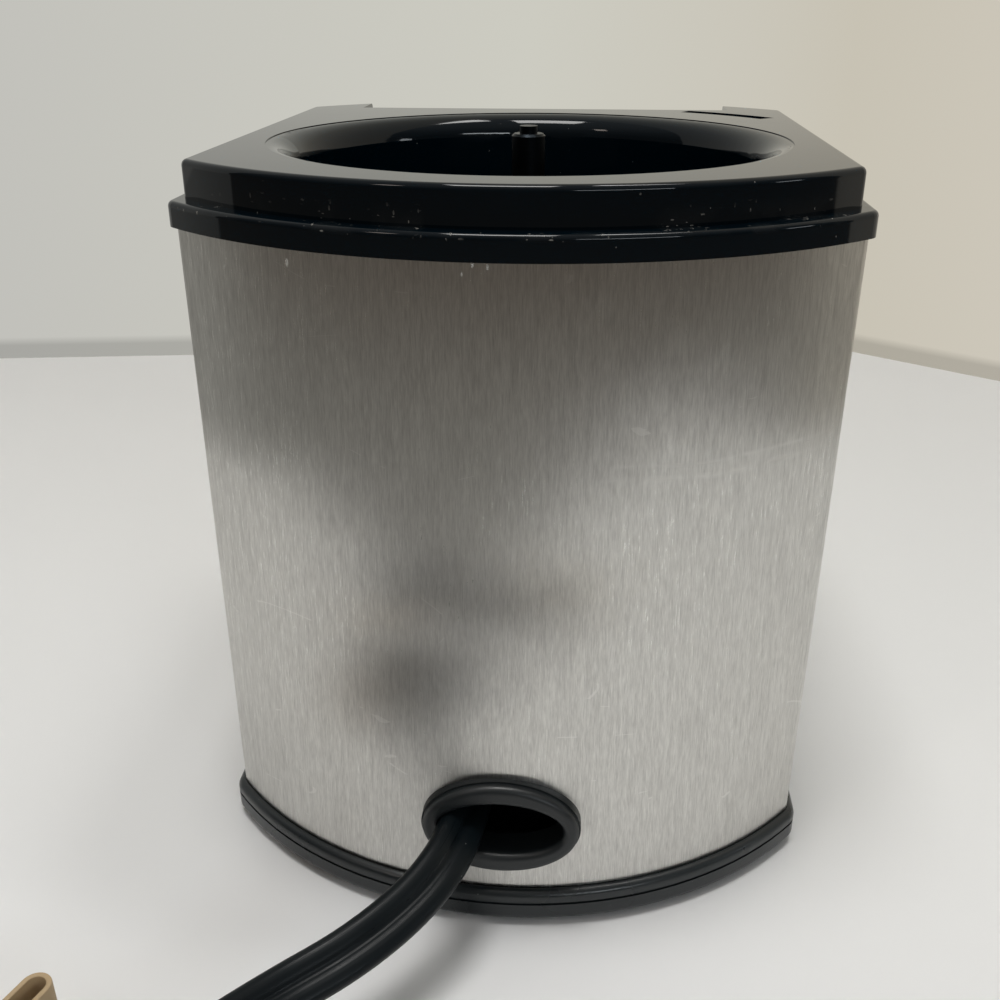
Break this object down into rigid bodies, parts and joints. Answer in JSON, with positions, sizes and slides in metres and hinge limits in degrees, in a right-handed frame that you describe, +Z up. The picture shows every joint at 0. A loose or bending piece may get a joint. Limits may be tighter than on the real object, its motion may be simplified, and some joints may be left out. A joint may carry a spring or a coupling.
{
  "type": "food chopper motor base",
  "caption": "Compact food chopper motor base: steel-sleeved body with bowed ends, black deck with round bowl well, drive spindle, lock slot, buttons, oval cord grommet and flat lead.",
  "frame": {"origin": "on the table, under the middle of the base ring", "axes": "+Z up, along the drive spindle; -Y is the front with the control panel and +Y the back with the cord"},
  "size_m": [0.1477, 0.28, 0.1275],
  "materials": {
    "black_gloss": "moulded, glossy black",
    "panel_black": "moulded, satin black",
    "button_grey": "moulded, dark grey",
    "sleeve_steel": "vertical brushed grain",
    "tray_black": "moulded, satin black",
    "foot_rubber": "soft, dark",
    "grommet_rubber": "satin black",
    "screw_steel": "plated",
    "board_laminate": "green laminate",
    "brush_card_laminate": "brown laminate",
    "switch_plastic": "moulded",
    "white_nylon": "natural nylon",
    "plain_steel": "bright",
    "spindle_steel": "blackened and ground",
    "cast_alloy": "die cast",
    "bush_bronze": "sintered",
    "seal_rubber": "lip seal",
    "lamination_steel": "stacked sheet",
    "copper_wire": "enamelled wire",
    "commutator_copper": "turned",
    "pinion_steel": "cut teeth",
    "holder_brass": "folded sheet",
    "carbon": "pressed carbon",
    "cord_vinyl": "black flexible vinyl",
    "tie_rubber": "tan rubber band",
    "blade_brass": "stamped"
  },
  "bodies": {
    "base_body": {"top_deck": "black_gloss", "steel_sleeve": "sleeve_steel", "base_tray": "tray_black", "rubber_feet": "foot_rubber", "base_screws": "screw_steel", "cord_grommet": "grommet_rubber", "control_panel": "panel_black", "control_board": "board_laminate", "button_switches": "switch_plastic", "panel_screws": "screw_steel", "interlock_spring": "plain_steel", "interlock_bracket": "plain_steel", "interlock_screw": "screw_steel", "interlock_switch": "switch_plastic", "gear_plate": "cast_alloy", "bridge_plate": "plain_steel", "chassis_screws": "screw_steel", "upper_spindle_bush": "bush_bronze", "lower_spindle_bush": "bush_bronze", "spindle_seal": "seal_rubber", "field_stack": "lamination_steel", "field_coils": "copper_wire", "lower_bracket": "cast_alloy", "upper_motor_bush": "bush_bronze", "lower_motor_bush": "bush_bronze", "motor_bolts": "screw_steel", "brush_card": "brush_card_laminate", "brush_holders": "holder_brass", "carbon_brushes": "carbon", "cord_clamp": "white_nylon", "clamp_screws": "screw_steel", "supply_cord": "cord_vinyl", "cord_coil": "cord_vinyl", "plug_lead": "cord_vinyl", "cord_tie": "tie_rubber", "plug_body": "cord_vinyl", "plug_blades": "blade_brass"},
    "rotor_body": {"motor_shaft": "plain_steel", "armature_core": "lamination_steel", "armature_winding": "copper_wire", "commutator": "commutator_copper", "cooling_fan": "white_nylon", "drive_pinion": "pinion_steel"},
    "spindle_body": {"spindle_shaft": "spindle_steel", "spindle_gear": "white_nylon", "gear_pin": "plain_steel", "retaining_clip": "plain_steel", "thrust_washers": "bush_bronze"},
    "chop_button_body": {"chop_button": "button_grey"},
    "grind_button_body": {"grind_button": "button_grey"},
    "interlock_body": {"interlock_plunger": "white_nylon"}
  },
  "joints": [
    {"name": "rotor_spin", "type": "hinge", "parent": "base_body", "child": "rotor_body", "pos_m": [0, -0.0177, 0.05], "axis": [0, 0, 1], "continuous": true},
    {"name": "spindle_spin", "type": "hinge", "parent": "base_body", "child": "spindle_body", "pos_m": [0, 0.0123, 0.09], "axis": [0, 0, 1], "continuous": true},
    {"name": "chop_press", "type": "slide", "parent": "base_body", "child": "chop_button_body", "axis": [0, 0.2327, -0.9725], "range_m": [0, 0.0012], "stiffness_N_per_m": 1200, "springref_m": -0.0005},
    {"name": "grind_press", "type": "slide", "parent": "base_body", "child": "grind_button_body", "axis": [0, 0.2327, -0.9725], "range_m": [0, 0.0012], "stiffness_N_per_m": 1200, "springref_m": -0.0005},
    {"name": "interlock_press", "type": "slide", "parent": "base_body", "child": "interlock_body", "axis": [0, 0, -1], "range_m": [0, 0.003], "stiffness_N_per_m": 400, "springref_m": -0.001, "deforming": ["interlock_spring"]}
  ],
  "couplings": [
    {"joint": "spindle_spin", "follows": "rotor_spin", "ratio": -0.25}
  ]
}
